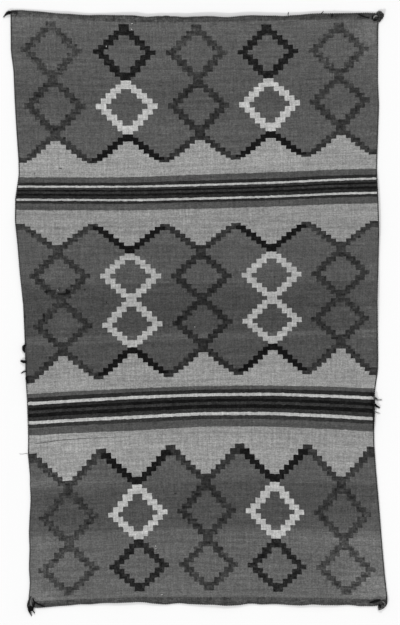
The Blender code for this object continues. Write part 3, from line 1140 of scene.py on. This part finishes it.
# %% Knots and tails of the corners
TASSEL_SEED = 3
TASSELS = {
    # knots: wool, middle, half sizes and half the cord's thickness. ends: wool, strands, points of x, y and
    # half thickness. All in mm.
    "top_left": {
        "knots": (("black", (-632.5, 1020.5), (7.2, 7.5, 4.6), 2.3),),
        "ends": (
            ("black", 14, ((-632, 1020, 4.0), (-638, 1018, 4.6), (-644, 1014, 3.4), (-649, 1010, 2.2),
                           (-652.6, 1006, 1.2))),
            ("black", 8, ((-632, 1024, 3.4), (-639, 1022, 3.4), (-645, 1017.5, 2.2), (-649, 1013, 1.2))),
            ("charcoal", 0, ((-624, 1023, 1.6), (-615, 1026, 2.0), (-608.5, 1022, 2.2), (-607, 1015, 1.8),
                             (-612, 1008, 1.4))),
            ("grey", 0, ((-624, 1012, 2.2), (-619, 1016, 2.6), (-615, 1012, 2.2))),
        ),
    },
    "top_right": {
        "knots": (("charcoal", (628, 1013), (13, 10.5, 6.0), 3.4),),
        "ends": (
            ("worn", 0, ((616, 1018, 2.8), (621, 1023, 3.2), (628, 1024, 3.0), (634, 1020, 2.8))),
            ("charcoal", 0, ((634, 1017, 3.2), (637, 1010, 3.6), (634, 1003, 3.6), (629, 997, 3.2),
                             (625, 989, 2.0))),
            ("charcoal", 0, ((627, 1007, 3.8), (624, 1000, 3.6), (623, 992, 2.6))),
            ("grey", 0, ((605, 1001, 2.6), (608, 1007, 3.6), (614, 1010, 3.6), (619, 1007, 2.4))),
            ("black", 0, ((604, 995, 2.6), (610, 994.5, 3.4), (617, 996.5, 2.8))),
            ("black", 0, ((600, 1010, 2.4), (601.5, 1003, 2.8), (599.5, 997, 2.0))),
            ("black", 0, ((547, 1018.5, 1.8), (562, 1011.5, 2.4), (576, 1006, 2.4), (591, 1002.5, 1.8))),
        ),
    },
    "bottom_left": {
        "knots": (("black", (-560, -1004.5), (11, 10, 6.6), 3.0),),
        "ends": (
            ("black", 10, ((-566, -1006, 4.6), (-563, -1016, 3.6), (-560, -1023, 2.2), (-556, -1029.4, 1.0))),
            ("charcoal", 12, ((-556, -1007, 3.2), (-551, -1014, 2.4), (-547, -1021, 1.2))),
            ("charcoal", 0, ((-559, -963, 1.8), (-566, -976, 2.6), (-570, -990, 3.2), (-568, -1003, 3.6))),
            ("black", 0, ((-553, -969, 1.8), (-548, -984, 2.8), (-551, -998, 3.4))),
            ("black", 0, ((-548, -981, 2.6), (-536, -988, 2.8), (-524, -993, 2.4), (-512, -998, 1.8))),
            ("grey", 0, ((-558.6, -973, 2.6), (-559, -984, 3.4), (-557.5, -994, 3.0))),
        ),
    },
    "bottom_right": {
        "knots": (
            ("worn", (630, -998.5), (13, 10.5, 5.6), 3.4),
            ("black", (626.5, -995), (6.5, 7.5, 6.8), 2.2),
        ),
        "ends": (
            ("charcoal", 0, ((636, -997, 3.6), (644, -994, 4.0), (648.5, -986, 3.2), (649, -976, 2.4),
                             (648, -966, 1.6))),
            ("worn", 8, ((632, -1003, 3.8), (627, -1006.5, 3.2), (622, -1008.5, 2.0))),
            ("worn", 0, ((632, -979, 2.6), (638, -981, 3.6), (643, -987, 3.8), (641, -994, 3.4))),
            ("black", 0, ((592, -984, 3.0), (604, -981, 4.4), (616, -977, 5.2), (627, -975, 3.4))),
        ),
    },
}
tassels = {}
for corner, parts in TASSELS.items():
    meshes = [knot(wool, middle, half, cord) for wool, middle, half, cord in parts["knots"]]
    for number, (wool, strands, points_mm) in enumerate(parts["ends"]):
        meshes += yarn_end(wool, points_mm, strands, seed=number + TASSEL_SEED)
    tassels[corner] = joined(f"corner_tassel_{corner}", meshes)
    faces = tassels[corner].data.polygons
    print(tassels[corner].name, "triangles:", sum(len(face.vertices) - 2 for face in faces))

# %% [markdown]
# ## Loose yarns
#
# In the middle of the sides, and in a few places along the top, weft ends have worked out of the
# edge, and others were darned back over it. They are the same yarn ends, with frayed strands at their tips.

# %% Stray yarn ends along the edges
STRAY_SEED = 40
STRAYS = (
    # wool, then strands, spread and strand radius of a frayed tip, then points as above
    ("black", (10, 5.0, 0.32), ((-577, -109, 3.4), (-584, -114, 4.8), (-584, -124, 5.0), (-580, -134, 3.0))),
    ("black", (14, 6.0, 0.34), ((-575, -166, 4.4), (-584, -165.5, 5.4), (-593.5, -162, 3.2))),
    ("charcoal", (10, 4.0, 0.30), ((-574, -200, 3.0), (-583, -199, 2.8), (-592, -205, 1.4))),
    ("black", (), ((-576, -217, 2.4), (-574, -225, 3.6), (-572, -233, 2.8), (-568, -239, 2.0))),
    ("black", (), ((-580, -8, 1.2), (-580, -14, 1.8), (-581, -20, 1.2))),
    ("grey", (3, 1.6, 0.22), ((-566, -479, 0.6), (-578, -478, 0.5), (-590, -480, 0.4), (-598, -479, 0.3))),
    ("grey", (8, 4.0, 0.28), ((604, -284, 2.6), (612, -291, 2.6), (622, -295.5, 1.6), (634, -294.5, 0.7))),
    ("charcoal", (4, 2.4, 0.30), ((603, -283, 2.4), (610, -288.5, 3.2), (618, -291.5, 1.8))),
    ("black", (10, 3.6, 0.34), ((598, -298, 3.4), (606, -308, 4.4), (616, -317, 4.0), (627, -322.5, 1.8))),
    ("black", (), ((602, -314, 1.6), (603.5, -340, 2.2), (604, -372, 2.0), (603.5, -398, 1.4))),
    ("grey", (8, 5.0, 0.26), ((604, -330, 1.0), (612, -336, 1.0), (626, -341, 0.5))),
    ("black", (), ((594, -272, 1.8), (601, -277, 2.8), (602, -284, 2.0))),
    ("black", (5, 2.0, 0.34), ((314.5, 1012, 1.2), (315, 1018, 1.4), (316.5, 1023, 0.8))),
    ("black", (5, 2.2, 0.34), ((424, 1016, 1.6), (430, 1019.5, 1.6), (435, 1026, 0.8))),
    ("black", (), ((464, 1017, 2.0), (464, 1012, 2.8), (463.5, 1005.5, 2.4))),
    ("black", (), ((-218, 1010.5, 1.4), (-207, 1007.5, 1.8), (-196, 1006, 1.2))),
    ("black", (), ((-136, 1006.5, 1.4), (-128, 1007.5, 1.6), (-121, 1007.5, 1.2))),
    ("black", (), ((-110, 1008.5, 1.4), (-98, 1009, 1.8), (-87, 1008, 1.2))),
    ("charcoal", (), ((-279, 1007, 2.0), (-278, 1000, 2.2), (-279, 993, 1.6))),
)
stray_meshes = []
for number, (wool, fray, points_mm) in enumerate(STRAYS):
    stray_meshes += yarn_end(wool, points_mm, *fray, seed=STRAY_SEED + number)
strays = joined("stray_yarns", stray_meshes)
print("stray yarns:", len(STRAYS))

# %% [markdown]
# ## Flecks and darning on the face
#
# A few knots of white fleece and dark stubs of yarn sit on the face, one fine dark pick runs across
# a light band, and a worn spot in the first column was darned with black yarn. Each fleck is a tiny
# curled tuft of frayed strands. The rest are yarn ends again.

# %% Flecks, the dark pick and the darn
FLECK_SEED = 80
FLECK_LIFT = 1.2
FLECKS = (
    # x, y, length and turn in degrees, wool
    (-216, 983, 5, 20, "white"),
    (-217, 963, 6, -30, "white"),
    (-303, 906, 4, 60, "white"),
    (-135, -791, 5, 80, "white"),
    (-135, -801, 5, 20, "white"),
    (-114, -957, 6, 10, "white"),
    (-2, -47, 3, 0, "white"),
    (-546, 473, 4, 0, "black"),
    (-458, 491, 10, -15, "black"),
    (168, 476, 6, 90, "black"),
    (-377, 79, 5, -40, "black"),
    (-302, 35, 5, -50, "black"),
    (269, 122, 5, 0, "black"),
    (-505, -384, 5, 20, "black"),
    (-67, -613, 8, 10, "black"),
)
DARK_PICK = (
    (-568, -447.8), (-522, -441.7), (-486, -435.2), (-441, -430.4), (-370, -426.4), (-262, -420.9),
    (-146, -416.2),
)
DARNS = (
    # wool, points of x, y and half thickness in mm
    ("black", ((-439, 81, 2.8), (-437, 75, 4.6), (-432, 71, 4.4), (-426, 71, 2.6))),
    ("black", ((-432, 68, 2.6), (-445, 65, 2.8), (-458, 64.5, 2.6), (-469, 65, 2.0))),
    ("black", ((-513, 72, 2.2), (-508, 71.5, 3.0), (-503, 71, 2.2))),
    ("charcoal", ((-486, 76, 1.8), (-482, 70, 2.2), (-480, 63, 1.8))),
    ("grey", ((-470, 81, 2.4), (-467.5, 77.5, 3.2), (-466, 73, 2.4))),
)
fleck_meshes = []
for number, (x, y, length, degrees, wool) in enumerate(FLECKS):
    reach = Vector((math.cos(math.radians(degrees)), math.sin(math.radians(degrees)))) * length / 2
    lift = ground(x, y) + FLECK_LIFT
    crest = lift + FLECK_LIFT / 2
    route = [(x - reach.x, y - reach.y, lift), (x, y, crest), (x + reach.x, y + reach.y, lift)]
    fleck_meshes.append(grow(
        fray_tree, smooth_route(route, 3), [1.0] * 7, Strands=6, Seed=FLECK_SEED + number, Spread=1.0 * MM,
        Root_Spread=0.8 * MM, Strand_Radius=0.42 * MM, Wool=yarns[wool],
    ))
pick = [(x, y, ground(x, y) + 0.2) for x, y in smooth_route(DARK_PICK)]
fleck_meshes.append(grow(
    fray_tree, pick, [1.0] * len(pick), Strands=1, Seed=5, Spread=0.4 * MM, Root_Spread=0.1 * MM,
    Strand_Radius=0.85 * MM, Wool=yarns["black"],
))
for wool, points_mm in DARNS:
    fleck_meshes += yarn_end(wool, points_mm)
flecks = joined("flecks_and_darns", fleck_meshes)
print("flecks:", len(FLECKS), "darns:", len(DARNS))

# %% [markdown]
# ## Tie every piece to the frame
#
# The blanket is one body, so all pieces ride on it. Each woven or tied piece replaces the plain solid it
# stands for.

# %% Ride and replace
for piece, node, slot in (
    (cloth, "cloth", "cloth"),
    *((cords[edge], f"selvage_{edge}", "selvage") for edge in cords),
    *((tassels[corner], f"tassel_{corner}", "tassel") for corner in tassels),
):
    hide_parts(node)
    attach(piece, "root")
for piece, slot in ((strays, "tassel"), (flecks, "cloth")):
    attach(piece, "root")
print("pieces tied:", len(cords) + len(tassels) + 3)

# %% [markdown]
# ## Floor, light and camera
#
# The blanket lies on a plain pale floor under a pale sky, which is the softest studio light there is,
# with a broad lamp low on the left and a weaker one beyond the top, so that the lifted edges throw a
# soft shadow on both sides.
# The camera hangs straight above, far away, with a long lens, as for a catalogue picture. Its frame
# is a little larger than the blanket.

# %% Floor
FLOOR_HALF = 60.0
FLOOR_GREY = 0.82
floor_mesh = bpy.data.meshes.new("floor")
floor_corners = [(-FLOOR_HALF, -FLOOR_HALF, 0), (FLOOR_HALF, -FLOOR_HALF, 0),
                 (FLOOR_HALF, FLOOR_HALF, 0), (-FLOOR_HALF, FLOOR_HALF, 0)]
floor_mesh.from_pydata(floor_corners, [], [(0, 1, 2, 3)])
floor = bpy.data.objects.new("floor", floor_mesh)
bpy.context.scene.collection.objects.link(floor)
floor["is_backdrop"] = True
paper = bpy.data.materials.new("pale_floor")
paper.use_nodes = True
paper_shader = paper.node_tree.nodes["Principled BSDF"]
paper_shader.inputs["Base Color"].default_value = (FLOOR_GREY, FLOOR_GREY, FLOOR_GREY, 1.0)
paper_shader.inputs["Roughness"].default_value = 1.0
paper_shader.inputs["Specular IOR Level"].default_value = 0.0
floor_mesh.materials.append(paper)

# %% Light
SKY_STRENGTH = 0.74
LAMPS = (
    # name, strength, how wide it looks in degrees, direction of its light
    ("broad_lamp", 1.62, 5, (0.45, 0.72, -0.50)),
    ("fill_lamp", 1.00, 8, (-0.08, -0.80, -0.60)),
)
world = bpy.data.worlds.new("studio")
world.use_nodes = True
world.node_tree.nodes["Background"].inputs["Color"].default_value = (1.0, 1.0, 1.0, 1.0)
world.node_tree.nodes["Background"].inputs["Strength"].default_value = SKY_STRENGTH
bpy.context.scene.world = world
for name, strength, degrees, direction in LAMPS:
    lamp_data = bpy.data.lights.new(name, "SUN")
    lamp_data.energy = strength
    lamp_data.angle = math.radians(degrees)
    lamp = bpy.data.objects.new(name, lamp_data)
    lamp.rotation_mode = "QUATERNION"
    lamp.rotation_quaternion = Vector(direction).to_track_quat("-Z", "Y")
    bpy.context.scene.collection.objects.link(lamp)
bpy.context.scene.view_settings.view_transform = "Standard"
bpy.context.scene.view_settings.look = "None"

# %% Camera
PIXEL_MM = 3.4
IMAGE_TALL = 625
IMAGE_MIDDLE = (15.3, 1.7)  # where the picture's middle falls on the blanket, in mm
LENS_MM, SENSOR_MM = 120.0, 36.0
view_height = IMAGE_TALL * PIXEL_MM * MM * LENS_MM / SENSOR_MM
camera_data = bpy.data.cameras.new("camera")
camera_data.lens = LENS_MM
camera_data.sensor_width = SENSOR_MM
camera_data.clip_end = 200.0
camera = bpy.data.objects.new("camera", camera_data)
camera.location = (IMAGE_MIDDLE[0] * MM, IMAGE_MIDDLE[1] * MM, view_height)
bpy.context.scene.collection.objects.link(camera)
bpy.context.scene.camera = camera
print("camera height in m:", round(view_height, 2))

# %% Print the size of what is drawn
low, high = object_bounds()
print("visual box in mm:", [round((b - a) * 1000, 1) for a, b in zip(low, high)])
